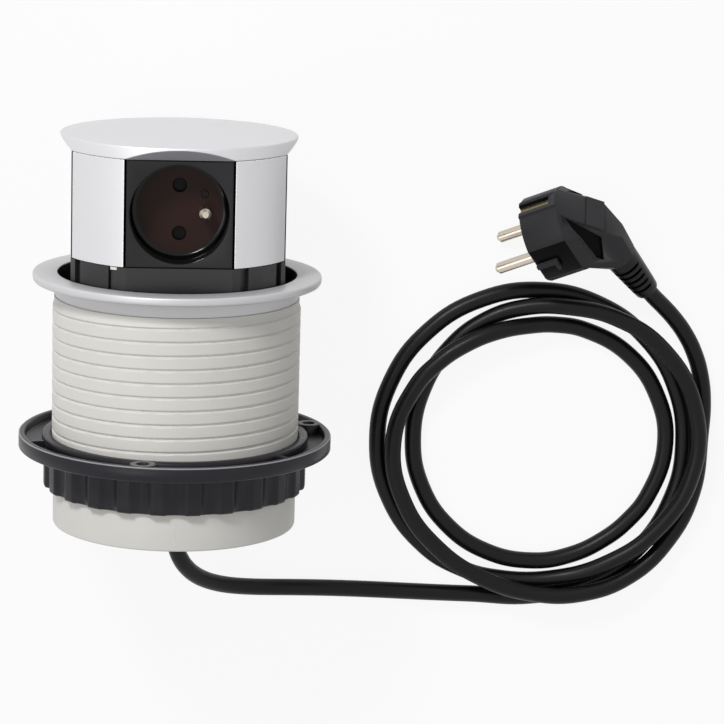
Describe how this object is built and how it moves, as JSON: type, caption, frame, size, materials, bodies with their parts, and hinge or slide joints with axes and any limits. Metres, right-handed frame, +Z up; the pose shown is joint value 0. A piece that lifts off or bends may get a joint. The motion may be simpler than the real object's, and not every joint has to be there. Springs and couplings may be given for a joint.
{
  "type": "pop up desk socket",
  "caption": "Round pop up socket tower that slides in a threaded barrel with a trim ring and a clamp nut, lying on a table with its cord coiled beside it and an angled plug.",
  "frame": {"origin": "centre of the underside of the trim ring, on the pop up axis, where the worktop's top face meets it", "axes": "+Y along the pop up axis towards the cap, +Z up from the table that the set lies on, which is the side that the front socket faces, +X towards the coil"},
  "size_m": [0.2948, 0.2125, 0.1269],
  "materials": {
    "anodised_trim": "satin anodised",
    "satin_silver": "satin",
    "grey_plastic": "moulded, slight sheen",
    "charcoal_plastic": "moulded, satin",
    "black_plastic": "moulded, satin",
    "socket_black": "polished",
    "shutter_black": "moulded",
    "ivory_nylon": "moulded",
    "zinc_steel": "zinc plated",
    "nickel_pin": "nickel plated",
    "brass_contact": "bare",
    "cord_black": "satin PVC"
  },
  "bodies": {
    "housing": {"trim_ring": "anodised_trim", "threaded_barrel": "grey_plastic", "guide_pads": "black_plastic", "base_frame": "black_plastic", "base_cover": "black_plastic", "cover_screws": "zinc_steel", "cord_gland": "cord_black", "gland_plate": "zinc_steel", "gland_screws": "zinc_steel", "inner_lead": "cord_black", "cord_lead": "cord_black", "cord_coil": "cord_black", "cord_tail": "cord_black", "plug_bridge": "black_plastic", "plug_grip": "black_plastic", "plug_boot": "cord_black", "plug_pins": "nickel_pin", "plug_earth_clips": "brass_contact"},
    "flange": {"clamp_flange": "charcoal_plastic"},
    "nut": {"grip_nut": "charcoal_plastic"},
    "tower": {"cap": "satin_silver", "cap_screws": "zinc_steel", "tower_frame": "black_plastic", "socket_front": "socket_black", "socket_right": "socket_black", "socket_back": "socket_black", "socket_left": "socket_black", "panel_front_right": "satin_silver", "panel_back_right": "satin_silver", "panel_back_left": "satin_silver", "panel_front_left": "satin_silver", "contact_carriers": "ivory_nylon", "earth_pins": "nickel_pin", "live_contacts": "brass_contact", "neutral_contacts": "brass_contact", "live_busbar": "brass_contact", "neutral_busbar": "brass_contact", "earth_busbar": "brass_contact", "busbar_posts": "ivory_nylon", "skirt": "black_plastic", "tower_floor": "black_plastic", "tower_screws": "zinc_steel", "friction_springs": "ivory_nylon", "terminal_block": "ivory_nylon"},
    "shutter_front_body": {"shutter_front": "shutter_black"},
    "shutter_right_body": {"shutter_right": "shutter_black"},
    "shutter_back_body": {"shutter_back": "shutter_black"},
    "shutter_left_body": {"shutter_left": "shutter_black"}
  },
  "joints": [
    {"name": "tower_slide", "type": "slide", "parent": "housing", "child": "tower", "axis": [0, 1, 0], "range_m": [-0.0565, 0]},
    {"name": "clamp_travel", "type": "slide", "parent": "housing", "child": "flange", "axis": [0, 1, 0], "range_m": [-0.005, 0.038]},
    {"name": "nut_turn", "type": "hinge", "parent": "flange", "child": "nut", "pos_m": [0, -0.075, 0], "axis": [0, 1, 0], "range_deg": [-327, 2487]},
    {"name": "shutter_front_slide", "type": "slide", "parent": "tower", "child": "shutter_front_body", "axis": [1, 0, 0], "range_m": [0, 0.006], "stiffness_N_per_m": 150, "springref_m": -0.003},
    {"name": "shutter_right_slide", "type": "slide", "parent": "tower", "child": "shutter_right_body", "axis": [0, 0, -1], "range_m": [0, 0.006], "stiffness_N_per_m": 150, "springref_m": -0.003},
    {"name": "shutter_back_slide", "type": "slide", "parent": "tower", "child": "shutter_back_body", "axis": [-1, 0, 0], "range_m": [0, 0.006], "stiffness_N_per_m": 150, "springref_m": -0.003},
    {"name": "shutter_left_slide", "type": "slide", "parent": "tower", "child": "shutter_left_body", "axis": [0, 0, 1], "range_m": [0, 0.006], "stiffness_N_per_m": 150, "springref_m": -0.003}
  ],
  "couplings": [
    {"joint": "clamp_travel", "follows": "nut_turn", "m_per_rad": 0.00087535}
  ]
}
